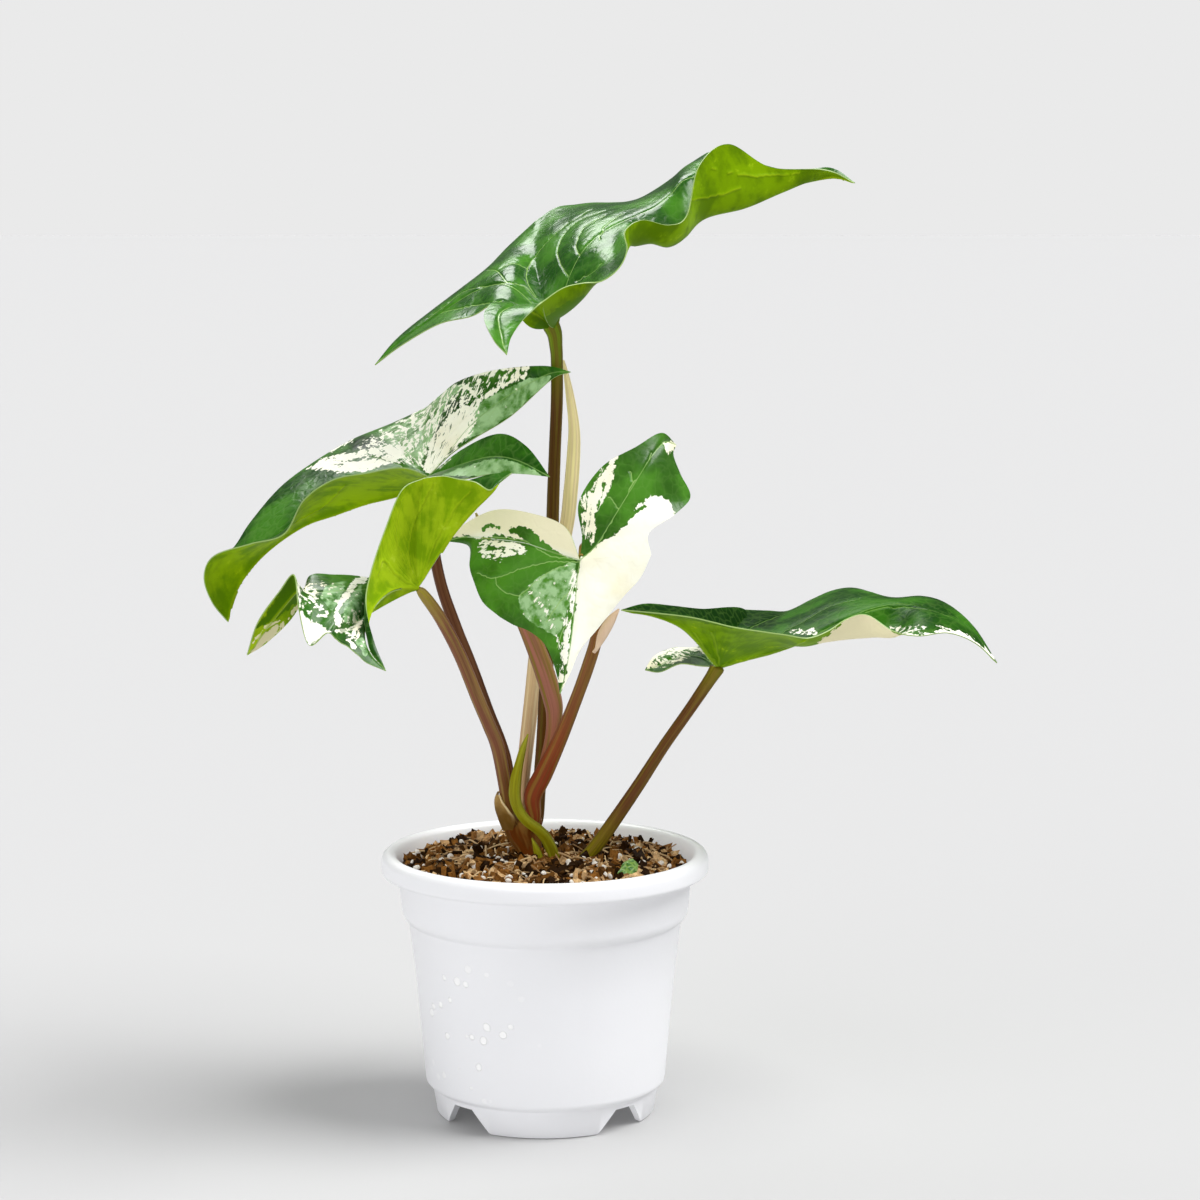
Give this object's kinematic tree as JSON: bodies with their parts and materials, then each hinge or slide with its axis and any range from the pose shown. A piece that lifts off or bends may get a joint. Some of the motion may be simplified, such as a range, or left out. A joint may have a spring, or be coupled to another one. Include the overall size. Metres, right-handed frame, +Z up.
{
  "type": "potted plant",
  "caption": "Variegated arrow-leaf house plant on slender arching petioles, standing in a round white plastic nursery pot filled with bark potting mix.",
  "frame": {"origin": "centre of the bounding box, at the level surface that the pot's foot stands on; the pot's own axis stands at X -20.5 mm, Y -0.9 mm", "axes": "+Z up, +X to the right and +Y away from the viewer of the plant's front"},
  "size_m": [0.2872, 0.1584, 0.3541],
  "materials": {
    "white_plastic": "smooth moulded, slightly glossy",
    "potting_mix": "loose bark and coir chips",
    "dark_green_leaf": "waxy",
    "marbled_leaf": "waxy",
    "cream_green_leaf": "waxy",
    "lime_underside_leaf": "waxy",
    "purple_brown_stem": "smooth",
    "red_brown_stem": "smooth",
    "pale_dry_sheath": "papery",
    "green_shoot": "smooth",
    "peach_bract": "papery"
  },
  "bodies": {
    "root": {"pot": "white_plastic", "soil": "potting_mix", "stem_base": "purple_brown_stem", "top_leaf": "dark_green_leaf", "top_petiole": "purple_brown_stem", "upper_left_leaf": "marbled_leaf", "upper_left_petiole": "purple_brown_stem", "lower_left_leaf": "lime_underside_leaf", "lower_left_petiole": "purple_brown_stem", "front_leaf": "cream_green_leaf", "front_petiole": "red_brown_stem", "right_leaf": "dark_green_leaf", "right_petiole": "purple_brown_stem", "dry_sheath": "pale_dry_sheath", "side_sheath": "red_brown_stem", "torn_scale": "pale_dry_sheath", "green_shoot": "green_shoot", "green_scale": "green_shoot", "peach_bract": "peach_bract", "seedling": "green_shoot"}
  },
  "joints": []
}
